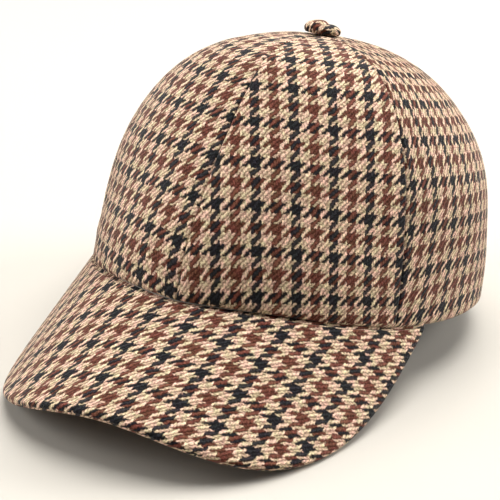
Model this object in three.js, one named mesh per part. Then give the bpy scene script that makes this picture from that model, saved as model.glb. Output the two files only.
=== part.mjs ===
// A tweed cap of six panels, with one stiff curved peak and a covered button, at rest on a
// flat surface. Units are millimetres, +Z is up, the peak points towards -Y and the
// wearer's left is +X.
//
// The cap is shaped in a frame of its own: the hem's oval lies near z = 0, with its middle at
// the origin. A place on the crown is given by an angle round the oval (0 at the front, +90
// at the wearer's left, 180 at the back) and a climb from 0 at the hem to 1 at the top. The
// finished cap then leans back until the peak's two corners and the back of the hem touch
// the surface, and the origin moves to the middle of its footprint.

import * as THREE from 'three';
import { mergeVertices } from 'three/addons/utils/BufferGeometryUtils.js';

// The crown's oval at the hem, over the cloth
const halfWidth = 86;
const frontReach = 104.1;
const backReach = 102;
const ovalPower = 1.83; // 2 is an ellipse, less is leaner between its ends
const frontTaper = 0.115; // share by which the oval narrows to the front and widens behind

// The crown above the hem
const crownHeight = 106.2;
const topSetback = 5.3; // the top lies this far behind the oval's middle
const clothWall = 2.0;
const frontSeamAngle = 62.8;
const backSeamAngle = 120;
const eyeletRadius = 2.0; // the hole that the six points leave at the top
const hemRun = 32; // degrees in which the hem settles to its level behind the peak

// The crown's profile from hem to top, at three places round it. In and up are the powers of
// the cosine and sine that carry it, and swell is a share added outwards in its lower half.
const profile = {
  front: { in: 1.0, up: 0.44, swell: -0.22 },
  side: { in: 1.03, up: 0.585, swell: -0.01 },
  back: { in: 0.92, up: 0.42, swell: -0.22 },
};

// The peak: a board covered in cloth, bent over the middle line and pitched down
const peakReach = 62.7; // from the crown to the front edge, along the slope
const peakPitch = 35.8; // degrees below the hem's plane
const peakDrop = 48.1; // depth of the bend at the side edges
const peakCurl = 0.12; // share of the bend that gathers towards the side edges
const peakEndAngle = 72.2; // where it ends on the crown's oval
const peakLedge = 1.0; // its ends stand this far outside the crown
const peakCorner = 3.3; // 2 is a round outline, more is squarer at the corners
const peakThickness = 4.0;

// The button: a cloth-covered dome with a shank and a flat head inside the crown
const buttonRadius = 8.0;
const buttonHeight = 6.2;
const shankHeadRadius = 4.5;
const shankHeadThickness = 1.0;

// Clearances
const seamGap = 0.3; // between one panel and the next
const seatGap = 0.3; // between the crown and the peak or the button
const hemSettle = 2.0; // the soft hem flattens this much where it carries the cap
const steepestLean = 80; // the search for the resting lean ends here, in degrees

// Fineness of the mesh
const panelColumns = 12;
const panelRows = 16;
const peakColumns = 44;
const peakRows = 7;
const edgeRows = 4;
const buttonSides = 28;
const buttonRings = 9;

const degrees = Math.PI / 180;
const pitchCos = Math.cos(peakPitch * degrees);
const pitchSin = Math.sin(peakPitch * degrees);

// x to the given power, keeping its sign
function signedPower(x, power) {
  return Math.sign(x) * Math.abs(x) ** power;
}

// A smooth step from 0 at low to 1 at high
function smooth(x, low, high) {
  const t = Math.min(1, Math.max(0, (x - low) / (high - low)));
  return t * t * (3 - 2 * t);
}

// The hem's oval in plan, inset from the outside of the cloth
function oval(angle, inset) {
  const across = Math.sin(angle * degrees);
  const along = Math.cos(angle * degrees);
  const reach = (along > 0 ? frontReach : backReach) - inset;
  return {
    x: (halfWidth - inset) * signedPower(across, 2 / ovalPower) * (1 - frontTaper * along),
    y: -reach * signedPower(along, 2 / ovalPower),
  };
}

// The peak's upper face is a sheet that is straight down its slope and bent across it. A
// place on it is x across and slope down from the front of the crown's oval.
const peakHalfWidth = oval(peakEndAngle, -peakLedge).x;

function bendDepth(x) {
  const u = x / peakHalfWidth;
  return peakDrop * ((1 - peakCurl) * u ** 2 + peakCurl * u ** 4);
}

function bendRise(x) {
  const u = x / peakHalfWidth;
  return (peakDrop / peakHalfWidth) * (2 * (1 - peakCurl) * u + 4 * peakCurl * u ** 3);
}

// A point below the sheet by depth, measured square to it
function peakPoint(x, slope, depth) {
  const bend = bendDepth(x);
  const rise = bendRise(x);
  const point = new THREE.Vector3(
    x,
    -frontReach - slope * pitchCos + bend * pitchSin,
    -slope * pitchSin - bend * pitchCos,
  );
  const up = new THREE.Vector3(rise, -pitchSin, pitchCos).normalize();
  return point.addScaledVector(up, -depth);
}

// Where the sheet passes over a place in plan
function slopeAt(x, y) {
  return (-frontReach - y + bendDepth(x) * pitchSin) / pitchCos;
}

function sheetHeight(x, y) {
  return -slopeAt(x, y) * pitchSin - bendDepth(x) * pitchCos;
}

// The peak's outline: a squarish half oval from one end on the crown, round the front edge,
// to the other. Points are at equal steps along it.
function peakOutline(count) {
  const end = oval(peakEndAngle, -peakLedge);
  const endSlope = slopeAt(end.x, end.y);
  const fine = [];
  const fineCount = 40 * count;
  for (let i = 0; i <= fineCount; i++) {
    const turn = (2 * i / fineCount - 1) * 90 * degrees;
    fine.push(new THREE.Vector2(
      end.x * signedPower(Math.sin(turn), 2 / peakCorner),
      endSlope + (peakReach - endSlope) * Math.abs(Math.cos(turn)) ** (2 / peakCorner),
    ));
  }
  const run = [0];
  for (let i = 1; i < fine.length; i++) run.push(run[i - 1] + fine[i].distanceTo(fine[i - 1]));
  const outline = [];
  let at = 0;
  for (let i = 0; i <= count; i++) {
    const wanted = run[fineCount] * i / count;
    while (at < fineCount - 1 && run[at + 1] < wanted) at++;
    const share = (wanted - run[at]) / (run[at + 1] - run[at]);
    outline.push(fine[at].clone().lerp(fine[at + 1], share));
  }
  return outline;
}

// Joins two grids of points of the same layout into one closed body. The second lies behind
// the first; where the two share a border row, that row is closed without a wall.
function closedBody(front, back, sharedLastRow = false) {
  const rows = front.length;
  const columns = front[0].length;
  const positions = [];
  const number = (grid) => grid.map((row) => row.map((point) => {
    positions.push(point.x, point.y, point.z);
    return positions.length / 3 - 1;
  }));
  const f = number(front);
  const b = number(back);
  if (sharedLastRow) b[rows - 1] = f[rows - 1];
  const index = [];
  const quad = (p, q, r, s) => index.push(p, q, r, p, r, s);
  for (let i = 0; i + 1 < rows; i++) {
    for (let j = 0; j + 1 < columns; j++) {
      quad(f[i][j], f[i][j + 1], f[i + 1][j + 1], f[i + 1][j]);
      quad(b[i][j], b[i + 1][j], b[i + 1][j + 1], b[i][j + 1]);
    }
  }
  for (let j = 0; j + 1 < columns; j++) {
    quad(f[0][j + 1], f[0][j], b[0][j], b[0][j + 1]);
    if (sharedLastRow) continue;
    quad(f[rows - 1][j], f[rows - 1][j + 1], b[rows - 1][j + 1], b[rows - 1][j]);
  }
  for (let i = 0; i + 1 < rows; i++) {
    quad(f[i][0], f[i + 1][0], b[i + 1][0], b[i][0]);
    quad(f[i + 1][columns - 1], f[i][columns - 1], b[i][columns - 1], b[i + 1][columns - 1]);
  }
  const geometry = new THREE.BufferGeometry();
  geometry.setAttribute('position', new THREE.Float32BufferAttribute(positions, 3));
  geometry.setIndex(index);
  return mergeVertices(geometry, 1e-5);
}

// The peak runs from under the crown's wall to its outline. Its edge is rolled: both faces
// curve to meet halfway through the thickness.
function makePeak() {
  const outline = peakOutline(peakColumns);
  const roll = peakThickness / 2;
  const top = [];
  const bottom = [];
  for (let i = 0; i <= peakRows + edgeRows; i++) {
    const topRow = [];
    const bottomRow = [];
    outline.forEach((edge, j) => {
      const angle = (2 * j / peakColumns - 1) * peakEndAngle;
      const root = oval(angle, clothWall);
      const start = new THREE.Vector2(root.x, slopeAt(root.x, root.y));
      const length = start.distanceTo(edge);
      const rolled = Math.min(roll, length / 2);
      const around = Math.max(0, i - peakRows) / edgeRows * 90 * degrees;
      const fromEdge = i < peakRows
        ? length + (rolled - length) * i / peakRows
        : rolled * (1 - Math.sin(around));
      const depth = i < peakRows ? 0 : roll * (1 - Math.cos(around));
      const place = edge.clone().lerp(start, fromEdge / length);
      topRow.push(peakPoint(place.x, place.y, depth));
      bottomRow.push(peakPoint(place.x, place.y, peakThickness - depth));
    });
    top.push(topRow);
    bottom.push(bottomRow);
  }
  return closedBody(bottom, top, true);
}

// The hem's height: it lies on the peak as far as the peak goes, and settles to level behind
function hemHeight(angle, inset) {
  const turn = Math.abs(angle);
  const place = oval(Math.min(turn, peakEndAngle), inset);
  const level = sheetHeight(place.x, place.y) + seatGap;
  return level * (1 - smooth(turn, peakEndAngle, peakEndAngle + hemRun));
}

// The resting position: how far the cap leans back, and the surface's height in the cap's
// own frame at a place along y
function findRest(peak) {
  const peakPoints = peak.getAttribute('position');
  const hemPoints = [];
  for (let angle = 0; angle <= 180; angle += 2) {
    hemPoints.push({ y: oval(angle, 0).y, z: hemHeight(angle, 0) });
  }
  const heightOf = (y, z, lean) => z * Math.cos(lean) - y * Math.sin(lean);
  const lowestPeak = (lean) => {
    let low = Infinity;
    for (let i = 0; i < peakPoints.count; i++) {
      low = Math.min(low, heightOf(peakPoints.getY(i), peakPoints.getZ(i), lean));
    }
    return low;
  };
  const lowestHem = (lean) => Math.min(...hemPoints.map((p) => heightOf(p.y, p.z, lean)));
  let low = 0;
  let high = steepestLean * degrees;
  for (let i = 0; i < 50; i++) {
    const lean = (low + high) / 2;
    if (lowestPeak(lean) < lowestHem(lean) + hemSettle) low = lean;
    else high = lean;
  }
  const lean = low;
  const ground = lowestPeak(lean);
  return { lean, surface: (y) => (ground + y * Math.sin(lean)) / Math.cos(lean) };
}

// A value of the profile table at an angle, running smoothly from front to side to back
function profileAt(angle, name) {
  const { front, side, back } = profile;
  const mean = (front[name] + back[name]) / 2;
  const along = Math.cos(angle * degrees);
  return side[name] + (mean - side[name]) * along ** 2 + (front[name] - back[name]) / 2 * along;
}

function crownPoint(angle, climb, inset, rest) {
  const place = oval(angle, inset);
  const hem = Math.max(hemHeight(angle, inset), rest.surface(place.y));
  const turn = climb * 90 * degrees;
  const lower = 6.4 * climb * (1 - climb) ** 2;
  const spread = Math.cos(turn) ** profileAt(angle, 'in')
    * (1 + profileAt(angle, 'swell') * lower);
  const lift = Math.sin(turn) ** profileAt(angle, 'up');
  return new THREE.Vector3(
    place.x * spread,
    topSetback + (place.y - topSetback) * spread,
    hem + (crownHeight - inset - hem) * lift,
  );
}

// The climb at which the crown ends, at the edge of the round hole under the button
function climbToEyelet(angle) {
  const place = oval(angle, 0);
  const spread = eyeletRadius / Math.hypot(place.x, place.y - topSetback);
  return Math.acos(spread ** (1 / profileAt(angle, 'in'))) / (90 * degrees);
}

// One panel, from seam to seam. Each side edge stands back by half the gap, which is a wider
// angle near the top, where the seams come together.
function makePanel(from, to, rest) {
  const outer = [];
  const inner = [];
  for (let i = 0; i <= panelRows; i++) {
    const climbAt = (angle) => climbToEyelet(angle) * (i / panelRows) ** 1.6;
    const back = (angle) => {
      const step = 0.5;
      const a = crownPoint(angle - step, climbAt(angle), 0, rest);
      const b = crownPoint(angle + step, climbAt(angle), 0, rest);
      return seamGap / 2 / (a.distanceTo(b) / (2 * step));
    };
    const start = from + back(from);
    const end = to - back(to);
    const outerRow = [];
    const innerRow = [];
    for (let j = 0; j <= panelColumns; j++) {
      const angle = start + (end - start) * j / panelColumns;
      outerRow.push(crownPoint(angle, climbAt(angle), 0, rest));
      innerRow.push(crownPoint(angle, climbAt(angle), clothWall, rest));
    }
    outer.push(outerRow);
    inner.push(innerRow);
  }
  return closedBody(outer, inner);
}

// The button is turned about its own axis, with z = 0 on the outside of the crown's top
function makeButton() {
  const shankRadius = eyeletRadius - seatGap;
  const headTop = -clothWall - seatGap;
  const headBottom = headTop - shankHeadThickness;
  const sideHeight = buttonHeight * 0.4;
  const points = [
    new THREE.Vector2(0, headBottom),
    new THREE.Vector2(shankHeadRadius, headBottom),
    new THREE.Vector2(shankHeadRadius, headTop),
    new THREE.Vector2(shankRadius, headTop),
    new THREE.Vector2(shankRadius, seatGap),
    new THREE.Vector2(buttonRadius * 0.86, seatGap),
  ];
  for (let i = 0; i <= buttonRings; i++) {
    const turn = i / buttonRings * 90 * degrees;
    points.push(new THREE.Vector2(
      i === buttonRings ? 0 : buttonRadius * Math.cos(turn) ** 0.8,
      sideHeight + (buttonHeight - sideHeight) * Math.sin(turn),
    ));
  }
  const geometry = new THREE.LatheGeometry(points, buttonSides);
  geometry.deleteAttribute('normal');
  geometry.deleteAttribute('uv');
  geometry.rotateX(90 * degrees);
  return mergeVertices(geometry, 1e-4);
}

// Each piece has a cloth of its own shade of the same tweed
function addPiece(group, name, geometry, color) {
  geometry.computeVertexNormals();
  const material = new THREE.MeshStandardMaterial({ color, roughness: 0.95, metalness: 0 });
  const mesh = new THREE.Mesh(geometry, material);
  mesh.name = name;
  group.add(mesh);
  return mesh;
}

const peak = makePeak();
const rest = findRest(peak);
const cap = new THREE.Group();

addPiece(cap, 'peak', peak, '#8f7159');
addPiece(cap, 'panel_front_left', makePanel(0, frontSeamAngle, rest), '#7d6150');
addPiece(cap, 'panel_front_right', makePanel(-frontSeamAngle, 0, rest), '#84685a');
addPiece(cap, 'panel_side_left', makePanel(frontSeamAngle, backSeamAngle, rest), '#80655a');
addPiece(cap, 'panel_side_right', makePanel(-backSeamAngle, -frontSeamAngle, rest), '#80655a');
addPiece(cap, 'panel_back_left', makePanel(backSeamAngle, 180, rest), '#7d6150');
addPiece(cap, 'panel_back_right', makePanel(-180, -backSeamAngle, rest), '#7d6150');
const button = addPiece(cap, 'button', makeButton(), '#86695a');
button.position.set(0, topSetback, crownHeight);

// Lean the cap back onto its resting points, and put the origin under its middle
cap.rotation.x = -rest.lean;
cap.updateMatrixWorld(true);
const box = new THREE.Box3().setFromObject(cap, true);
cap.position.set(0, -(box.min.y + box.max.y) / 2, -box.min.z);

const model = new THREE.Group();
model.add(cap);

export default model;
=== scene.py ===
# A tweed baseball cap at rest on a pale studio floor: a stiff curved peak, six crown panels and
# a covered button, all in one gun club check. Lengths are in metres, +Z is up, the peak points
# towards -Y and the wearer's left is +X.
#
# The cap is shaped in a frame of its own, as its model is: the hem's oval lies near z = 0 with
# its middle at the origin. A place on the crown is an angle round the oval (0 at the front, +90
# at the wearer's left) and a climb from 0 at the hem to 1 at the top.

import bpy
import numpy as np
from mathutils import Matrix, Vector


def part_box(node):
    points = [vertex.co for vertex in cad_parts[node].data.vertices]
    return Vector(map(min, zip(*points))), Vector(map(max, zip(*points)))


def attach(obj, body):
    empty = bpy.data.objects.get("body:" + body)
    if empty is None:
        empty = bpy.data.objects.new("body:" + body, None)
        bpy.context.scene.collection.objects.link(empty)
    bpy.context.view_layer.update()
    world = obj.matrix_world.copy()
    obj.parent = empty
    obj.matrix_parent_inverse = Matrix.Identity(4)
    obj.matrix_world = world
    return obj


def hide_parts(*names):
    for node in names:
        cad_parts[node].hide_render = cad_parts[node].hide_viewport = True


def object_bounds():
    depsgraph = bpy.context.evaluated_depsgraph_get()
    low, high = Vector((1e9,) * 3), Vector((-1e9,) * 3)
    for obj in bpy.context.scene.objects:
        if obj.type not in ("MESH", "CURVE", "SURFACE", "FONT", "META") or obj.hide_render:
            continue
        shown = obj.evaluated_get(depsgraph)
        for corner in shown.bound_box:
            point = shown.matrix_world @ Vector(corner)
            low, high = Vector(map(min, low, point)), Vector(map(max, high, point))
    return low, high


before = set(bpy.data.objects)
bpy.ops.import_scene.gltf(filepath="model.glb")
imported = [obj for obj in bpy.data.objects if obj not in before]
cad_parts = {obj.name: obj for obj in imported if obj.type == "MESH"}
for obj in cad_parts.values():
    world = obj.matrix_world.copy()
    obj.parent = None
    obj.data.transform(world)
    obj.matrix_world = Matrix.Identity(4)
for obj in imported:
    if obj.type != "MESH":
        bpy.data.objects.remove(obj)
cad_low, cad_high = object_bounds()

# Camera
# The photograph looks at the cap from the front, 25 degrees round to the wearer's left and 23
# degrees down, through a long lens that stands about 0.7 m away.
CAMERA_AZIMUTH = np.radians(25.08)
CAMERA_ELEVATION = np.radians(22.67)
CAMERA_ROLL = np.radians(2.64)
CAMERA_DISTANCE = 0.7117
CAMERA_AIM = Vector((-0.0026, -0.0007, 0.0416))
CAMERA_LENS = 119.4

view_back = Vector((
    np.sin(CAMERA_AZIMUTH) * np.cos(CAMERA_ELEVATION),
    -np.cos(CAMERA_AZIMUTH) * np.cos(CAMERA_ELEVATION),
    np.sin(CAMERA_ELEVATION),
))
view_right = Vector((np.cos(CAMERA_AZIMUTH), np.sin(CAMERA_AZIMUTH), 0.0))
view_up = view_back.cross(view_right)
rolled_right = view_right * np.cos(CAMERA_ROLL) + view_up * np.sin(CAMERA_ROLL)
rolled_up = view_up * np.cos(CAMERA_ROLL) - view_right * np.sin(CAMERA_ROLL)
camera = bpy.data.objects.new("camera", bpy.data.cameras.new("camera"))
camera.data.lens = CAMERA_LENS
camera.data.sensor_width = 36.0
camera.matrix_world = Matrix.Translation(CAMERA_AIM + view_back * CAMERA_DISTANCE) @ Matrix(
    (rolled_right, rolled_up, view_back)
).transposed().to_4x4()
bpy.context.scene.collection.objects.link(camera)
bpy.context.scene.camera = camera

# Floor
# A matt pale board, so much wider than the cap that its edge lies far behind it in every view.
FLOOR_SIZE = 6.0
FLOOR_WHITE = "#BDB9B2"


def linear(hex_colour):
    """An sRGB hex colour as linear red, green, blue and alpha: each channel c becomes
    ((c + 0.055) / 1.055) to the power 2.4, or c / 12.92 where c is under 0.04045."""
    c = np.array([int(hex_colour[i:i + 2], 16) for i in (1, 3, 5)]) / 255
    c = np.where(c > 0.04045, ((c + 0.055) / 1.055) ** 2.4, c / 12.92)
    return (*c, 1.0)


def add(tree, kind, settings=None, inputs=None):
    """Adds a node, sets its properties, and fills or links its inputs."""
    node = tree.nodes.new(kind)
    for name, value in (settings or {}).items():
        setattr(node, name, value)
    for name, value in (inputs or {}).items():
        if isinstance(value, bpy.types.NodeSocket):
            tree.links.new(value, node.inputs[name])
        else:
            node.inputs[name].default_value = value
    return node


def make_mesh(name, points, faces, uv, material):
    """A smooth object whose mesh has these points (n, 3) and faces, with a place on the cloth
    for each corner of each face, in the order of the faces."""
    mesh = bpy.data.meshes.new(name)
    mesh.from_pydata(points, [], faces)
    layer = mesh.uv_layers.new(name="cloth")
    layer.uv.foreach_set("vector", np.asarray(uv, dtype=np.float32).ravel())
    mesh.materials.append(material)
    mesh.shade_smooth()
    thing = bpy.data.objects.new(name, mesh)
    bpy.context.scene.collection.objects.link(thing)
    return thing


painted_board = bpy.data.materials.new("painted_board")
painted_board.use_nodes = True
board_shader = painted_board.node_tree.nodes["Principled BSDF"]
board_shader.inputs["Base Color"].default_value = linear(FLOOR_WHITE)
board_shader.inputs["Roughness"].default_value = 0.9
half_floor = FLOOR_SIZE / 2
floor = make_mesh(
    "floor",
    np.array([(-half_floor, -half_floor, 0), (half_floor, -half_floor, 0),
              (half_floor, half_floor, 0), (-half_floor, half_floor, 0)]),
    np.array([(0, 1, 2, 3)]),
    np.zeros((1, 4, 2)),
    painted_board,
)

# Light
# Soft boxes above, behind and on either side leave the front of the crown, which faces the
# camera, darker than the top, the sides and the peak, as in the photograph.
STUDIO_WHITE = "#F4F2EE"
SOFT_BOXES = {
    "top_box": {"place": (0.0, 0.2, 1.8), "size": 1.4, "watts": 51.0},
    "back_box": {"place": (0.0, 1.3, 1.3), "size": 1.2, "watts": 23.0},
    "left_box": {"place": (-1.6, -0.7, 0.8), "size": 1.2, "watts": 33.0},
    "right_box": {"place": (1.5, 1.2, 0.9), "size": 1.0, "watts": 43.0},
}
ROOM_STRENGTH = 0.05
WALL_STRENGTH = 0.75  # the pale far wall, which is seen past the floor but lights nothing

world = bpy.data.worlds.new("studio")
world.use_nodes = True
ray = add(world.node_tree, "ShaderNodeLightPath")
seen = add(world.node_tree, "ShaderNodeMapRange", None,
           {0: ray.outputs["Is Camera Ray"], 3: ROOM_STRENGTH, 4: WALL_STRENGTH})
room = world.node_tree.nodes["Background"]
room.inputs["Color"].default_value = linear(STUDIO_WHITE)
world.node_tree.links.new(seen.outputs[0], room.inputs["Strength"])
bpy.context.scene.world = world
bpy.context.scene.view_settings.view_transform = "Standard"
light_target = (cad_low + cad_high) / 2
for box_name, box in SOFT_BOXES.items():
    lamp = bpy.data.lights.new(box_name, "AREA")
    lamp.shape = "SQUARE"
    lamp.size = box["size"]
    lamp.energy = box["watts"]
    lamp.color = linear(STUDIO_WHITE)[:3]
    holder = bpy.data.objects.new(box_name, lamp)
    holder.location = box["place"]
    holder.rotation_mode = "QUATERNION"
    holder.rotation_quaternion = (light_target - holder.location).to_track_quat("-Z", "Y")
    bpy.context.scene.collection.objects.link(holder)

# Peak
# A stiff board 4 mm thick, covered above and below in the same tweed, with the two cloths turned
# over its edge. It is bent over the middle line and sewn in under the front of the crown's hem.
HALF_WIDTH = 0.0860
FRONT_REACH = 0.1041
BACK_REACH = 0.1020
OVAL_POWER = 1.83
FRONT_TAPER = 0.115
CLOTH_WALL = 0.002
PEAK_REACH = 0.0627
PEAK_PITCH = np.radians(35.8)
PEAK_DROP = 0.0481
PEAK_CURL = 0.12
PEAK_END = 72.2
PEAK_LEDGE = 0.001
PEAK_CORNER = 3.3
PEAK_THICKNESS = 0.004
PEAK_COLUMNS = 240
PEAK_ROWS = 72
PEAK_GATHER = 1.4  # the power by which the rows crowd towards the root
PEAK_GROOVE = 0.0016  # how far the upper cloth sinks where it goes in under the crown's hem
EDGE_ROWS = 9
EDGE_GROOVE = 0.0003  # how far the seam between the two cloths sinks into the edge
EDGE_GROOVE_TURN = 0.35  # its half width, in radians round the edge
PEAK_WAVE = 0.00025  # the unevenness of cloth laid over the board by hand
PEAK_WAVELENGTHS = (0.03, 0.08)
PEAK_WAVE_SEED = 11
LEAN = np.radians(13.556)  # the cap leans back on the peak's two corners and the back of its hem

# The cloth: a gun club check in a 2/2 twill, with four threads of navy, tan, brown and tan both
# ways. A repeat is 16 threads, a little longer up the cloth than across it.
REPEAT_ACROSS = 0.01627
REPEAT_UP = 0.01706
THREADS = 16
NAVY = "#242429"
TAN = "#DDC1A8"
BROWN = "#6C4034"
WARP_REACH = 1.0  # how far a warp float shows each way from its middle at its sides, in yarns
WARP_ROUNDING = 0.3  # and how much further at its middle line
FLOAT_LEAN = 0.8  # how far a float climbs across its own width: 1 joins the floats into ribs
YARN_ROUND = 0.5  # how much lower a float's sides lie than its middle line
WEFT_LIFT = 0.62  # the height of a weft float as a share of a warp float's
FLOAT_ARCH = 0.76  # how much lower a float lies a yarn from its middle, as a share of its height
FLOAT_BLUR = 0.15  # half the width of the soft edge between warp and weft, in yarns
WARP_COVER = 0.985  # how much of the weft's colour a warp float hides
YARN_WANDER = 1.2  # how widely the yarns stray from their rows, in yarns
FIBRE_FUZZ = 1.7  # how widely loose fibres carry one yarn's colour into the next
GAP_PAINTED_SHADE = (0.13, 0.08, 0.055, 1.0)  # painted shade: the share of the dye's colour kept in the gaps between yarns, darker and warmer
FLOAT_PAINTED_HIGHLIGHT = (1.12, 1.17, 1.22, 1.0)  # painted highlight: the share on the top of a float, lighter and whiter
PINKER = (1.10, 0.94, 0.98, 1.0)  # how one batch of wool takes the dye
YELLOWER = (0.95, 1.04, 0.88, 1.0)  # and another
DULLEST = 0.45  # the darkest patch of wool as a share of the mean
BRIGHTEST = 1.6
NAP_HEIGHT = 0.45  # the fibres that stand up, as a share of a float's height
PEAK_RELIEF = 0.00028  # from the gaps to the top of a warp float
# Where a navy crossing lies on a piece, and how far each set of yarns is turned, in degrees. The
# two differ where the cloth is pulled askew.
PEAK_CLOTH = {"across": 0.0298, "up": -0.0404, "warp": 3.7, "weft": 0.2}
UNDER_CLOTH = {"across": 0.0041, "up": -0.0365, "warp": -0.8, "weft": -0.8}


def signed_power(x, power):
    """x to the given power, keeping its sign."""
    return np.sign(x) * np.abs(x) ** power


def smooth_step(x, low, high):
    """0 below low, 1 above high, and 3 t squared less 2 t cubed between."""
    t = np.clip((x - low) / (high - low), 0, 1)
    return t * t * (3 - 2 * t)


def oval(angle, inset=0.0):
    """The hem's outline in plan: an ellipse whose sine and cosine are raised to 2 / OVAL_POWER,
    narrower to the front by FRONT_TAPER."""
    across = np.sin(np.radians(angle))
    along = np.cos(np.radians(angle))
    reach = np.where(along > 0, FRONT_REACH, BACK_REACH) - inset
    x = (HALF_WIDTH - inset) * signed_power(across, 2 / OVAL_POWER) * (1 - FRONT_TAPER * along)
    return x, -reach * signed_power(along, 2 / OVAL_POWER)


peak_half_width = oval(PEAK_END, -PEAK_LEDGE)[0]


def bend_depth(x):
    """How far the bent sheet drops at x across: mostly a parabola, partly a fourth power."""
    u = x / peak_half_width
    return PEAK_DROP * ((1 - PEAK_CURL) * u ** 2 + PEAK_CURL * u ** 4)


def peak_point(x, slope, depth):
    """A place in the peak: x across, slope down from the front of the hem, and depth below the
    sheet's upper face, square to it."""
    u = x / peak_half_width
    rise = PEAK_DROP / peak_half_width * (2 * (1 - PEAK_CURL) * u + 4 * PEAK_CURL * u ** 3)
    cos, sin = np.cos(PEAK_PITCH), np.sin(PEAK_PITCH)
    bend = bend_depth(x)
    place = np.stack([x, -FRONT_REACH - slope * cos + bend * sin, -slope * sin - bend * cos], -1)
    up = np.stack([rise, np.full_like(rise, -sin), np.full_like(rise, cos)], -1)
    up /= np.linalg.norm(up, axis=-1, keepdims=True)
    return place - up * depth[..., None]


def slope_at(x, y):
    """The slope distance at which the sheet passes over a place in plan."""
    return (-FRONT_REACH - y + bend_depth(x) * np.sin(PEAK_PITCH)) / np.cos(PEAK_PITCH)


def sheet_height(x, y):
    """The height of the peak's upper face over a place in plan."""
    return -slope_at(x, y) * np.sin(PEAK_PITCH) - bend_depth(x) * np.cos(PEAK_PITCH)


def peak_outline(count):
    """The peak's edge at equal steps: a squarish half oval, x and slope being the sine and the
    cosine of one angle raised to 2 / PEAK_CORNER, from one end on the crown to the other."""
    end_x, end_y = oval(PEAK_END, -PEAK_LEDGE)
    end_slope = slope_at(end_x, end_y)
    turn = np.radians(np.linspace(-90, 90, 40 * count + 1))
    x = end_x * signed_power(np.sin(turn), 2 / PEAK_CORNER)
    slope = end_slope + (PEAK_REACH - end_slope) * np.abs(np.cos(turn)) ** (2 / PEAK_CORNER)
    run = np.append(0, np.cumsum(np.hypot(np.diff(x), np.diff(slope))))
    wanted = np.linspace(0, run[-1], count + 1)
    return np.interp(wanted, run, x), np.interp(wanted, run, slope)


def soft_waves(points, seed, height, shortest, longest):
    """A gentle unevenness in metres at each point: the sum of ten sine waves in random
    directions, with wavelengths from shortest to longest."""
    draw = np.random.default_rng(seed)
    total = np.zeros(points.shape[:-1])
    for _ in range(10):
        direction = draw.normal(size=3)
        direction /= np.linalg.norm(direction)
        wavelength = draw.uniform(shortest, longest)
        phase = draw.uniform(0, 2 * np.pi)
        total += np.sin(points @ direction * (2 * np.pi / wavelength) + phase)
    return total * height / np.sqrt(10)


def grid_faces(numbers, flip=False):
    """The four-cornered faces of a grid of point numbers, seen with rows up and columns right,
    or the other way round when flipped."""
    quads = np.stack(
        [numbers[:-1, :-1], numbers[:-1, 1:], numbers[1:, 1:], numbers[1:, :-1]], -1
    ).reshape(-1, 4)
    return quads[:, ::-1] if flip else quads


def on_cloth(across, up, cloth, repeat_up):
    """A place on the surface as a place on the cloth, in repeats from a navy crossing: the
    distances from that crossing, each turned back by the turn of its own set of yarns."""
    a = across - cloth["across"]
    b = up - cloth["up"]
    warp = np.radians(cloth["warp"])
    weft = np.radians(cloth["weft"])
    return np.stack([
        (a * np.cos(warp) + b * np.sin(warp)) / REPEAT_ACROSS,
        (b * np.cos(weft) - a * np.sin(weft)) / repeat_up,
    ], -1)


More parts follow.
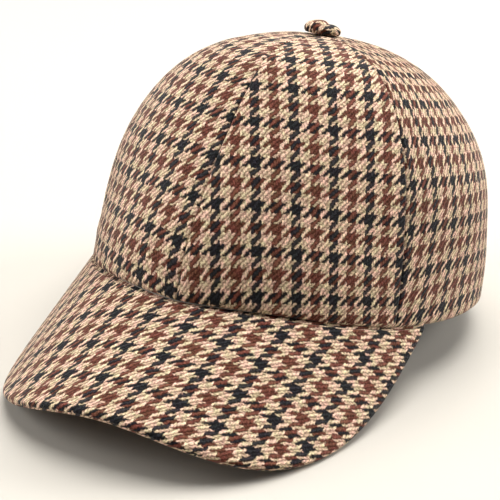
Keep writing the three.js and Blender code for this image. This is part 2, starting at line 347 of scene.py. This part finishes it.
def make_tweed(name, relief):
    """Napped wool tweed in a 2/2 twill. Each yarn goes over two and under two, and the step
    moves by one yarn from row to row, which draws the toothed edges of the check. The warp lies
    higher and hides more of the weft. The eye sees slanting rows of warp floats, loose fibres
    that blur the yarns' edges, and flecks in the wool; the lit float tops and the dark gaps are
    painted highlight and painted shade in the base colour."""
    material = bpy.data.materials.new(name)
    material.use_nodes = True
    tree = material.node_tree
    shader = tree.nodes["Principled BSDF"]

    # The place on the cloth in yarns, with a slow wander and a fine fuzz
    cloth = add(tree, "ShaderNodeUVMap", {"uv_map": "cloth"})
    yarns = add(tree, "ShaderNodeVectorMath", {"operation": "SCALE"},
                {0: cloth.outputs[0], "Scale": float(THREADS)})
    wander = add(tree, "ShaderNodeTexNoise", {"noise_dimensions": "2D"},
                 {"Vector": yarns.outputs[0], "Scale": 0.22, "Detail": 1.0})
    fuzz = add(tree, "ShaderNodeTexNoise", {"noise_dimensions": "2D"},
               {"Vector": yarns.outputs[0], "Scale": 1.1, "Detail": 3.0, "Roughness": 0.65})
    middle = (0.5, 0.5, 0.5)
    place = yarns.outputs[0]
    for noise, reach in ((wander, YARN_WANDER), (fuzz, FIBRE_FUZZ)):
        shift = add(tree, "ShaderNodeVectorMath", {"operation": "SUBTRACT"},
                    {0: noise.outputs["Color"], 1: middle})
        place = add(tree, "ShaderNodeVectorMath", {"operation": "MULTIPLY_ADD"},
                    {0: shift.outputs[0], 1: (reach, reach, 0), 2: place}).outputs[0]
    axes = add(tree, "ShaderNodeSeparateXYZ", None, {0: place})

    # For the warp and the weft: where the yarn's floats start, its colour, and the bulge
    # across it. A float starts a yarn later on the next yarn, and leans that way itself.
    start = []
    colour = []
    bulge = []
    for axis in (0, 1):
        whole = add(tree, "ShaderNodeMath", {"operation": "FLOOR"}, {0: axes.outputs[axis]})
        part = add(tree, "ShaderNodeMath", {"operation": "FRACT"}, {0: axes.outputs[axis]})
        band = add(tree, "ShaderNodeMath", {"operation": "MULTIPLY_ADD"},
                   {0: whole.outputs[0], 1: 1 / THREADS, 2: 2.5 / THREADS})
        share = add(tree, "ShaderNodeMath", {"operation": "FRACT"}, {0: band.outputs[0]})
        ramp = add(tree, "ShaderNodeValToRGB", None, {0: share.outputs[0]})
        ramp.color_ramp.interpolation = "CONSTANT"
        ramp.color_ramp.elements.new(0.5)
        ramp.color_ramp.elements.new(0.75)
        for stop, at, dye in zip(ramp.color_ramp.elements, (0, 0.25, 0.5, 0.75),
                                 (NAVY, TAN, BROWN, TAN)):
            stop.position = at
            stop.color = linear(dye)
        turn = add(tree, "ShaderNodeMath", {"operation": "MULTIPLY"},
                   {0: part.outputs[0], 1: np.pi})
        round_yarn = add(tree, "ShaderNodeMath", {"operation": "SINE"}, {0: turn.outputs[0]})
        leaning = add(tree, "ShaderNodeMath", {"operation": "MULTIPLY_ADD"},
                      {0: part.outputs[0], 1: FLOAT_LEAN, 2: whole.outputs[0]})
        start.append(leaning.outputs[0])
        colour.append(ramp.outputs[0])
        bulge.append(round_yarn.outputs[0])

    # How far along its float a place lies from the float's middle, 0 to 2 yarns, for the warp
    # and the weft. A warp float's middle is 1 yarn on from its start, a weft float's 2.
    off_middle = []
    for along, own, ahead in ((axes.outputs[1], start[0], 1.0), (axes.outputs[0], start[1], 0.0)):
        since = add(tree, "ShaderNodeMath", {"operation": "SUBTRACT"}, {0: along, 1: own})
        moved = add(tree, "ShaderNodeMath", {"operation": "ADD"},
                    {0: since.outputs[0], 1: ahead + FLOAT_LEAN / 2})
        in_four = add(tree, "ShaderNodeMath", {"operation": "FLOORED_MODULO"},
                      {0: moved.outputs[0], 1: 4.0})
        from_two = add(tree, "ShaderNodeMath", {"operation": "SUBTRACT"},
                       {0: in_four.outputs[0], 1: 2.0})
        off = add(tree, "ShaderNodeMath", {"operation": "ABSOLUTE"}, {0: from_two.outputs[0]})
        off_middle.append(off.outputs[0])

    # The warp is on top for a yarn either way from the middle of its float, with rounded ends
    reach = add(tree, "ShaderNodeMath", {"operation": "MULTIPLY_ADD"},
                {0: bulge[0], 1: WARP_ROUNDING, 2: WARP_REACH})
    left_over = add(tree, "ShaderNodeMath", {"operation": "SUBTRACT"},
                    {0: reach.outputs[0], 1: off_middle[0]})
    warp_up = add(tree, "ShaderNodeMapRange", None,
                  {0: left_over.outputs[0], 1: -FLOAT_BLUR, 2: FLOAT_BLUR, 4: WARP_COVER}).outputs[0]
    dyed = add(tree, "ShaderNodeMix", {"data_type": "RGBA"},
               {0: warp_up, 6: colour[1], 7: colour[0]}).outputs[2]

    # Each float arches from its middle to its ends; the weft's lie lower
    high = []
    for across, off, top in ((bulge[0], off_middle[0], 1.0), (bulge[1], off_middle[1], WEFT_LIFT)):
        arch = add(tree, "ShaderNodeMath", {"operation": "MULTIPLY_ADD", "use_clamp": True},
                   {0: off, 1: -FLOAT_ARCH * top, 2: top})
        soft = add(tree, "ShaderNodeMath", {"operation": "MULTIPLY_ADD"},
                   {0: across, 1: YARN_ROUND, 2: 1 - YARN_ROUND})
        high.append(add(tree, "ShaderNodeMath", {"operation": "MULTIPLY"},
                        {0: arch.outputs[0], 1: soft.outputs[0]}).outputs[0])
    height = add(tree, "ShaderNodeMix", {"data_type": "FLOAT"},
                 {0: warp_up, 2: high[1], 3: high[0]}).outputs[0]

    # Painted shade and highlight: the base colour is darkened and warmed down between the yarns, as
    # light that has gone from fibre to fibre would be, and lightened on the tops of the floats
    lit = add(tree, "ShaderNodeMapRange", {"interpolation_type": "SMOOTHSTEP"},
              {0: height, 1: -0.1, 2: 0.8})
    light = add(tree, "ShaderNodeMix", {"data_type": "RGBA"},
                {0: lit.outputs[0], 6: GAP_PAINTED_SHADE, 7: FLOAT_PAINTED_HIGHLIGHT}).outputs[2]
    painted_shade_and_highlight = add(tree, "ShaderNodeVectorMath", {"operation": "MULTIPLY"}, {0: dyed, 1: light})

    # Uneven dye and spinning: patches a yarn or two long, lighter or darker, pinker or yellower
    wool = add(tree, "ShaderNodeTexNoise", {"noise_dimensions": "2D"},
               {"Vector": yarns.outputs[0], "Scale": 0.8, "Detail": 4.0, "Roughness": 0.7})
    mottle = add(tree, "ShaderNodeMapRange", None,
                 {0: wool.outputs[0], 1: 0.25, 2: 0.75, 3: DULLEST, 4: BRIGHTEST})
    dye = add(tree, "ShaderNodeTexNoise", {"noise_dimensions": "2D"},
              {"Vector": yarns.outputs[0], "Scale": 0.3, "Detail": 2.0, "Roughness": 0.6})
    batch = add(tree, "ShaderNodeMapRange", None, {0: dye.outputs[0], 1: 0.35, 2: 0.65})
    tint = add(tree, "ShaderNodeMix", {"data_type": "RGBA"},
               {0: batch.outputs[0], 6: PINKER, 7: YELLOWER})
    tinted = add(tree, "ShaderNodeVectorMath", {"operation": "MULTIPLY"},
                 {0: painted_shade_and_highlight.outputs[0], 1: tint.outputs[2]})
    spun = add(tree, "ShaderNodeVectorMath", {"operation": "SCALE"},
               {0: tinted.outputs[0], "Scale": mottle.outputs[0]})
    tree.links.new(spun.outputs[0], shader.inputs["Base Color"])

    # Relief: the yarns themselves, and the nap on them
    nap = add(tree, "ShaderNodeTexNoise", {"noise_dimensions": "2D"},
              {"Vector": yarns.outputs[0], "Scale": 2.4, "Detail": 3.0})
    surface = add(tree, "ShaderNodeMath", {"operation": "MULTIPLY_ADD"},
                  {0: nap.outputs[0], 1: NAP_HEIGHT, 2: height})
    bump = add(tree, "ShaderNodeBump", None,
               {"Strength": 1.0, "Distance": relief, "Height": surface.outputs[0]})
    tree.links.new(bump.outputs[0], shader.inputs["Normal"])
    shader.inputs["Roughness"].default_value = 0.95
    shader.inputs["IOR"].default_value = 1.5
    shader.inputs["Specular IOR Level"].default_value = 0.1
    shader.inputs["Sheen Weight"].default_value = 0.16
    shader.inputs["Sheen Roughness"].default_value = 0.35
    return material


tweed_peak = make_tweed("wool_tweed_over_board", PEAK_RELIEF)

# One sheet of points runs from the root over the top, round the edge and back underneath. At
# the edge the depth follows a half circle, with a shallow groove where the two cloths meet.
edge_x, edge_slope = peak_outline(PEAK_COLUMNS)
root_x, root_y = oval(np.linspace(-PEAK_END, PEAK_END, PEAK_COLUMNS + 1), CLOTH_WALL)
root_slope = slope_at(root_x, root_y)
peak_length = np.hypot(edge_x - root_x, edge_slope - root_slope)
peak_roll = np.minimum(PEAK_THICKNESS / 2, peak_length / 2)
down_rows = np.linspace(0, 1, PEAK_ROWS + 1)[:-1, None] ** PEAK_GATHER
edge_turn = np.radians(np.linspace(0, 90, EDGE_ROWS + 1))[:, None]
groove = EDGE_GROOVE * np.exp(-((np.pi / 2 - edge_turn) / EDGE_GROOVE_TURN) ** 2)
from_edge = np.vstack([
    peak_length - (peak_length - peak_roll) * down_rows,
    peak_roll * (1 - np.sin(edge_turn)) + groove,
])
peak_depth = np.vstack([
    0 * down_rows * peak_roll,
    (PEAK_THICKNESS / 2) * (1 - np.cos(edge_turn)) + 0 * peak_roll,
])
cloth_from_edge = np.vstack([
    peak_length - (peak_length - peak_roll) * down_rows,
    peak_roll * (1 - edge_turn),
])
share = from_edge / peak_length
cloth_share = cloth_from_edge / peak_length
x = edge_x + (root_x - edge_x) * share
slope = edge_slope + (root_slope - edge_slope) * share
cloth_x = edge_x + (root_x - edge_x) * cloth_share
cloth_slope = edge_slope + (root_slope - edge_slope) * cloth_share
upper = peak_point(x, slope, peak_depth)
lower = peak_point(x, slope, PEAK_THICKNESS - peak_depth)
from_root = peak_length - from_edge
sunk = PEAK_GROOVE * (1 - smooth_step(from_root, CLOTH_WALL - 0.0004, CLOTH_WALL + 0.0018))
upper[..., 2] -= sunk * smooth_step(from_edge, 0.002, 0.006)
waves = soft_waves(upper, PEAK_WAVE_SEED, PEAK_WAVE, *PEAK_WAVELENGTHS)
waves = waves * smooth_step(from_edge, 0, 0.012) * smooth_step(from_root, 0.004, 0.02)
upper[..., 2] += waves
lower[..., 2] += waves

# Across the peak the cloth lies along the bend, so its distance is the bend's arc
bend_x = np.linspace(0, 0.11, 1101)
bend_arc = np.append(0, np.cumsum(np.hypot(np.diff(bend_x), np.diff(bend_depth(bend_x)))))
cloth_across = np.sign(cloth_x) * np.interp(np.abs(cloth_x), bend_x, bend_arc)
upper_uv = on_cloth(cloth_across, cloth_slope, PEAK_CLOTH, REPEAT_UP) * (1, -1)
lower_uv = on_cloth(cloth_across, cloth_slope, UNDER_CLOTH, REPEAT_UP)


def to_row(points):
    """Cap frame to the part's frame, before the shift: turned back about X by LEAN."""
    cos, sin = np.cos(LEAN), np.sin(LEAN)
    y, z = points[..., 1], points[..., 2]
    return np.stack([points[..., 0], y * cos + z * sin, z * cos - y * sin], -1)


# The model's own box says where the leaning cap stands
peak_here = to_row(np.concatenate([upper, lower]).reshape(-1, 3)).min(axis=0)
stand = np.array(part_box("peak")[0]) - peak_here
stand[0] = 0.0
stand[2] = -peak_here[2]

rows, columns = upper.shape[:2]
top_numbers = np.arange(rows * columns).reshape(rows, columns)
under_numbers = top_numbers + rows * columns
under_numbers[-1] = top_numbers[-1]
root_wall = np.stack([top_numbers[0], under_numbers[0]])
end_walls = [np.stack([top_numbers[:-1, 0], under_numbers[:-1, 0]], -1),
             np.stack([under_numbers[:-1, -1], top_numbers[:-1, -1]], -1)]
peak_faces = np.concatenate([
    grid_faces(top_numbers, flip=True),
    grid_faces(under_numbers),
    grid_faces(root_wall),
    grid_faces(end_walls[0]),
    grid_faces(end_walls[1]),
])
uv_by_point = np.concatenate([upper_uv.reshape(-1, 2), lower_uv.reshape(-1, 2)])
peak_uv = uv_by_point[peak_faces]
top_count = (rows - 1) * (columns - 1)
under_faces = (np.arange(rows * columns) + rows * columns).reshape(rows, columns)
peak_uv[top_count:2 * top_count] = uv_by_point[grid_faces(under_faces)]

# The two sheets share their last row, so each end wall closes with a triangle
corners = [[top_numbers[-2, 0], under_numbers[-2, 0], top_numbers[-1, 0]],
           [under_numbers[-2, -1], top_numbers[-2, -1], top_numbers[-1, -1]]]
peak_uv = np.concatenate([peak_uv.reshape(-1, 2), uv_by_point[np.concatenate(corners)]])
peak_points = to_row(np.concatenate([upper.reshape(-1, 3), lower[:-1].reshape(-1, 3)])) + stand
peak_points[:, 2] = np.maximum(peak_points[:, 2], 0)
peak = make_mesh("tweed_peak", peak_points, peak_faces.tolist() + corners, peak_uv, tweed_peak)
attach(peak, "root")
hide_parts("peak")

# Crown panels
# Six pieces of one tweed, sewn edge to edge with their allowances pressed open inside, and
# turned up at the hem. The front pair lies on the peak; the cloth is soft and holds itself up.
CROWN_HEIGHT = 0.1062
TOP_SETBACK = 0.0053
FRONT_SEAM = 62.8
BACK_SEAM = 120.0
EYELET_RADIUS = 0.002
HEM_RUN = 32.0
SEAT_GAP = 0.0003  # between the hem and the peak, and under the button
SEAM_GAP = 0.0001  # between one panel and the next
SEAM_DEPTH = 0.0008  # how far the outer face turns in at a seam
SEAM_ROLL = 0.0013  # over this distance
HEM_DEPTH = 0.0019  # and at the hem, where the cloth is folded
HEM_ROLL = 0.0028
ALLOWANCE = 0.008  # the strip of cloth pressed open at each side of a seam, inside
ALLOWANCE_WALL = 0.0011
TURN_UP = 0.013
TURN_UP_WALL = 0.0013
FOLD_EDGE = (0.0006, 0.0002)  # an allowance thins out from this far inside its edge to outside
PANEL_COLUMNS = 100
PANEL_ROWS = 130
COLUMN_GATHER = 0.8  # how much closer the columns lie at the seams: 0 is even
ROW_GATHER = 0.75
FINE_STEPS = 4001  # for the running length up a panel's middle
CROWN_WAVE = 0.0005  # the unevenness of soft cloth
CROWN_WAVELENGTHS = (0.045, 0.11)
CROWN_WAVE_SEED = 5
PUCKER = 0.00022  # the small puckers that the thread draws into a seam
PUCKER_WAVELENGTHS = (0.010, 0.022)
PUCKER_REACH = 0.006
PUCKER_SEED = 8
PROFILE = {
    "front": {"in": 1.0, "up": 0.44, "swell": -0.22},
    "side": {"in": 1.03, "up": 0.585, "swell": -0.01},
    "back": {"in": 0.92, "up": 0.42, "swell": -0.22},
}
# From and to are angles round the hem. Across, up, warp and weft place the cloth as on the peak,
# from the middle of the panel's hem, and bow is how much its rows rise at BOW_SPAN to either side.
# Drawn is how much closer the columns lie at the hem, and DRAWN_SPAN above it.
BOW_SPAN = 0.05
DRAWN_SPAN = 0.1
PANELS = {
    "panel_front_left": {"from": 0, "to": FRONT_SEAM, "across": 0.0057, "up": 0.0085,
                         "warp": 9.5, "weft": 9.4, "bow": -0.0013},
    "panel_front_right": {"from": -FRONT_SEAM, "to": 0, "across": 0.0388, "up": 0.0024,
                          "warp": 6.6, "weft": -8.0, "bow": -0.0001},
    "panel_side_left": {"from": FRONT_SEAM, "to": BACK_SEAM, "across": -0.0570, "up": 0.0082,
                        "warp": -0.8, "weft": -0.8, "bow": -0.0066, "drawn": (1.13, 1.52)},
    "panel_side_right": {"from": -BACK_SEAM, "to": -FRONT_SEAM, "across": 0.0031, "up": 0.0082,
                         "warp": 0.8, "weft": 0.8, "bow": -0.0066, "drawn": (1.13, 1.52)},
    "panel_back_left": {"from": BACK_SEAM, "to": 180, "across": 0.0062, "up": 0.0082,
                        "warp": -1.2, "weft": -1.2, "bow": -0.0040},
    "panel_back_right": {"from": -180, "to": -BACK_SEAM, "across": -0.0047, "up": 0.0082,
                         "warp": 1.0, "weft": 1.0, "bow": -0.0040},
}
CROWN_REPEAT_UP = 0.01727
CROWN_RELIEF = 0.00030

tweed_crown = make_tweed("wool_tweed", CROWN_RELIEF)


def hem_height(angle):
    """The hem lies on the peak as far as the peak goes, and settles to level behind it, but
    never goes below the surface that the cap stands on."""
    turn = np.abs(angle)
    x, y = oval(np.minimum(turn, PEAK_END))
    level = (sheet_height(x, y) + SEAT_GAP) * (1 - smooth_step(turn, PEAK_END, PEAK_END + HEM_RUN))
    ground = (-stand[2] + oval(angle)[1] * np.sin(LEAN)) / np.cos(LEAN)
    return np.maximum(level, ground)


def profile_at(angle, name):
    """A value of the profile table, running smoothly from front to side to back."""
    front, side, back = (PROFILE[place][name] for place in ("front", "side", "back"))
    along = np.cos(np.radians(angle))
    return side + ((front + back) / 2 - side) * along ** 2 + (front - back) / 2 * along


def crown_point(angle, climb):
    """A place on the outside of the crown. The hem's oval shrinks towards the top as a power of
    the cosine of the climb, and rises as a power of its sine."""
    x, y = oval(angle)
    hem = hem_height(angle)
    turn = climb * np.pi / 2
    lower = 6.4 * climb * (1 - climb) ** 2
    spread = np.cos(turn) ** profile_at(angle, "in") * (1 + profile_at(angle, "swell") * lower)
    lift = np.sin(turn) ** profile_at(angle, "up")
    return np.stack([
        x * spread,
        TOP_SETBACK + (y - TOP_SETBACK) * spread,
        hem + (CROWN_HEIGHT - hem) * lift,
    ], -1)


def arc(points, axis):
    """The running length along one axis of a grid of points, from 0."""
    steps = np.linalg.norm(np.diff(points, axis=axis), axis=-1)
    runs = np.cumsum(steps, axis=axis)
    first = np.zeros_like(np.take(runs, [0], axis=axis))
    return np.concatenate([first, runs], axis=axis)


def gathered(count, gather):
    """Shares from 0 to 1 that lie closer together at both ends: a blend of even steps and a
    half turn of a cosine."""
    t = np.linspace(0, 1, count + 1)
    return (1 - gather) * t + gather * (1 - np.cos(np.pi * t)) / 2


def turned_in(distance, roll, depth):
    """How deep a rolled edge lies at a distance from it: a quarter of an ellipse."""
    t = np.clip(1 - distance / roll, 0, 1)
    return depth * (1 - np.sqrt(np.maximum(1 - t ** 2, 0)))


def make_panel(name, panel):
    """One panel as a closed wall of cloth: an outer and an inner sheet of points, moved in from
    the crown's surface along its normal, and the strips that join their borders."""
    middle = (panel["from"] + panel["to"]) / 2
    power = profile_at(middle, "in")
    top_climb = 2 / np.pi * np.arccos((EYELET_RADIUS / HALF_WIDTH) ** (1 / power))
    fine_climb = top_climb * np.linspace(0, 1, FINE_STEPS) ** 3
    meridian = arc(crown_point(np.full(FINE_STEPS, float(middle)), fine_climb), 0)
    climb = np.interp(gathered(PANEL_ROWS, ROW_GATHER) * meridian[-1], meridian, fine_climb)

    # Each side edge stands back by half the gap, a wider angle where the seams come together
    step = 0.25
    edges = []
    for side, way in ((panel["from"], 1), (panel["to"], -1)):
        wide = crown_point(np.full_like(climb, side + step), climb)
        wide = wide - crown_point(np.full_like(climb, side - step), climb)
        per_degree = np.linalg.norm(wide, axis=-1) / (2 * step)
        edges.append(side + way * SEAM_GAP / 2 / per_degree)
    shares = gathered(PANEL_COLUMNS, COLUMN_GATHER)
    angle = edges[0][:, None] + (edges[1] - edges[0])[:, None] * shares
    climb = climb[:, None] + 0 * angle
    surface = crown_point(angle, climb)
    normal = np.cross(np.gradient(surface, axis=1), np.gradient(surface, axis=0))
    normal /= np.linalg.norm(normal, axis=-1, keepdims=True)

    # Distances on the surface: across from each seam and from the middle, and up from the hem
    across = arc(surface, 1)
    width = across[:, -1:]
    to_seam = np.minimum(across, width - across)
    up = arc(surface, 0)
    centre = np.array([np.interp(middle, a, s) for a, s in zip(angle, across)])[:, None]
    meridian_up = np.interp(climb[:, 0], fine_climb, meridian)[:, None] + 0 * angle
    sideways = across - centre

    # The outer face turns in at the seams and the hem; the inner one carries the allowances
    waves = soft_waves(surface, CROWN_WAVE_SEED, CROWN_WAVE, *CROWN_WAVELENGTHS)
    waves = waves * smooth_step(up, 0, 0.03)
    pucker = soft_waves(surface, PUCKER_SEED, PUCKER, *PUCKER_WAVELENGTHS)
    pucker = pucker * np.exp(-(to_seam / PUCKER_REACH) ** 2)
    outer_depth = turned_in(to_seam, SEAM_ROLL, SEAM_DEPTH) + turned_in(up, HEM_ROLL, HEM_DEPTH)
    outer_depth = np.minimum(outer_depth, SEAM_DEPTH + HEM_DEPTH * 0.4) + waves + pucker
    inside, outside = FOLD_EDGE
    pressed = ALLOWANCE_WALL * (1 - smooth_step(to_seam, ALLOWANCE - inside, ALLOWANCE + outside))
    folded = TURN_UP_WALL * (1 - smooth_step(up, TURN_UP - inside, TURN_UP + outside))
    inner_depth = CLOTH_WALL + waves + pressed + folded
    outer = surface - normal * outer_depth[..., None]
    inner = surface - normal * inner_depth[..., None]

    rows, columns = surface.shape[:2]
    out = np.arange(rows * columns).reshape(rows, columns)
    back = out + rows * columns
    faces = np.concatenate([
        grid_faces(out),
        grid_faces(back, flip=True),
        grid_faces(np.stack([back[0], out[0]])),
        grid_faces(np.stack([out[-1], back[-1]])),
        grid_faces(np.stack([back[:, 0], out[:, 0]], -1)),
        grid_faces(np.stack([out[:, -1], back[:, -1]], -1)),
    ])
    bow = panel["bow"] * (sideways / BOW_SPAN) ** 2
    at_hem, at_top = panel.get("drawn", (1.0, 1.0))
    drawn = at_hem + (at_top - at_hem) * meridian_up / DRAWN_SPAN
    uv = on_cloth(sideways * drawn, meridian_up - bow, panel, CROWN_REPEAT_UP).reshape(-1, 2)
    inner_uv = uv - (0, TURN_UP_WALL / CROWN_REPEAT_UP)
    points = to_row(np.concatenate([outer.reshape(-1, 3), inner.reshape(-1, 3)])) + stand
    points[:, 2] = np.maximum(points[:, 2], 0)
    thing = make_mesh("tweed_" + name, points, faces, np.concatenate([uv, inner_uv])[faces], tweed_crown)

    # The piece as it was cut: its surface, with the allowances and the turned-up hem
    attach(thing, "root")
    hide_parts(name)
    return thing


for panel_name, panel in PANELS.items():
    make_panel(panel_name, panel)

# Button
# A domed metal button form with a round of the same tweed gathered over it, fixed through the
# point where the six panels meet, with a flat head inside the crown. The cloth folds into a
# cleft over the dome and lies lower on the wearer's left of it.
BUTTON_RADIUS = 0.008
BUTTON_HEIGHT = 0.0062
SHANK_RADIUS = EYELET_RADIUS - SEAT_GAP
HEAD_RADIUS = 0.0045
HEAD_THICKNESS = 0.001
DOME_START = 0.4  # the dome starts at this share of the button's height
DOME_POWER = 0.8  # less than 1 makes it fuller than half an ellipse
BUTTON_SIDES = 144
BUTTON_RINGS = 44
GATHERS = 13
GATHER_DEPTH = 0.035  # as a share of the radius, at the rim
GATHER_BAND = 0.0014  # half the height of the band of gathers
CLEFT_DEPTH = 0.0016
CLEFT_PLACE = 0.0012
CLEFT_HALF = 0.0011
LOW_SIDE = 0.0011  # how much lower the dome is beyond the cleft
BUTTON_CLOTH = {"across": -0.0078, "up": -0.0100, "warp": 14.0, "weft": 14.0}
HIDDEN_ACROSS = 0.0040  # the cloth that goes into the cleft and is not seen
HIDDEN_UP = -0.0050
BUTTON_RELIEF = 0.00024

tweed_button = make_tweed("wool_tweed_button", BUTTON_RELIEF)

# The profile from the head's underside out, up the shank and over the dome to the top
side_height = BUTTON_HEIGHT * DOME_START
head_top = -CLOTH_WALL - ALLOWANCE_WALL - SEAT_GAP
dome_turn = np.radians(np.linspace(0, 89, BUTTON_RINGS + 1))
profile_r = np.concatenate([
    [HEAD_RADIUS * 0.05, HEAD_RADIUS * 0.5, HEAD_RADIUS, HEAD_RADIUS, SHANK_RADIUS, SHANK_RADIUS],
    BUTTON_RADIUS * np.array([0.6, 0.84, 0.94, 0.98]),
    BUTTON_RADIUS * np.cos(dome_turn) ** DOME_POWER,
])
profile_z = np.concatenate([
    [head_top - HEAD_THICKNESS] * 3 + [head_top] * 2 + [SEAT_GAP] * 3,
    [SEAT_GAP * 1.8, side_height * 0.5],
    side_height + (BUTTON_HEIGHT - side_height) * np.sin(dome_turn),
])
round_angle = np.linspace(0, 2 * np.pi, BUTTON_SIDES, endpoint=False)
rim = np.exp(-((profile_z - side_height * 0.8) / GATHER_BAND) ** 2)[:, None]
rim = rim * (profile_r[:, None] > BUTTON_RADIUS * 0.7)
fold = 1 + GATHER_DEPTH * rim * np.sin(GATHERS * round_angle + 0.6 * np.sin(3 * round_angle))
ring_x = profile_r[:, None] * fold * np.cos(round_angle)
ring_y = profile_r[:, None] * fold * np.sin(round_angle)
over = np.clip(profile_z / BUTTON_HEIGHT, 0, 1)[:, None]
cleft = CLEFT_DEPTH * np.exp(-((ring_x - CLEFT_PLACE) / CLEFT_HALF) ** 2) * over ** 2
low_side = LOW_SIDE * smooth_step(ring_x, CLEFT_PLACE - 0.001, CLEFT_PLACE + 0.002) * over
ring_z = profile_z[:, None] - cleft - low_side
button_points = np.stack([ring_x, ring_y + TOP_SETBACK, ring_z + CROWN_HEIGHT], -1)
ring_numbers = np.arange(button_points.shape[0] * BUTTON_SIDES).reshape(-1, BUTTON_SIDES)
ring_numbers = np.concatenate([ring_numbers, ring_numbers[:, :1]], 1)
button_faces = grid_faces(ring_numbers).tolist()
button_faces += [ring_numbers[0, -1:0:-1].tolist(), ring_numbers[-1, :-1].tolist()]
down_the_side = arc(np.stack([profile_r, profile_z, 0 * profile_r], -1), 0)
from_top = (down_the_side[-1] - down_the_side)[:, None]
beyond = smooth_step(ring_x, CLEFT_PLACE - 0.0002, CLEFT_PLACE + 0.0002)
button_uv = on_cloth(from_top * np.cos(round_angle) + HIDDEN_ACROSS * beyond,
                     from_top * np.sin(round_angle) + HIDDEN_UP * beyond,
                     BUTTON_CLOTH, REPEAT_UP).reshape(-1, 2)
button = make_mesh(
    "tweed_button",
    to_row(button_points).reshape(-1, 3) + stand,
    button_faces,
    button_uv[np.concatenate(button_faces)],
    tweed_button,
)
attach(button, "root")
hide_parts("button")
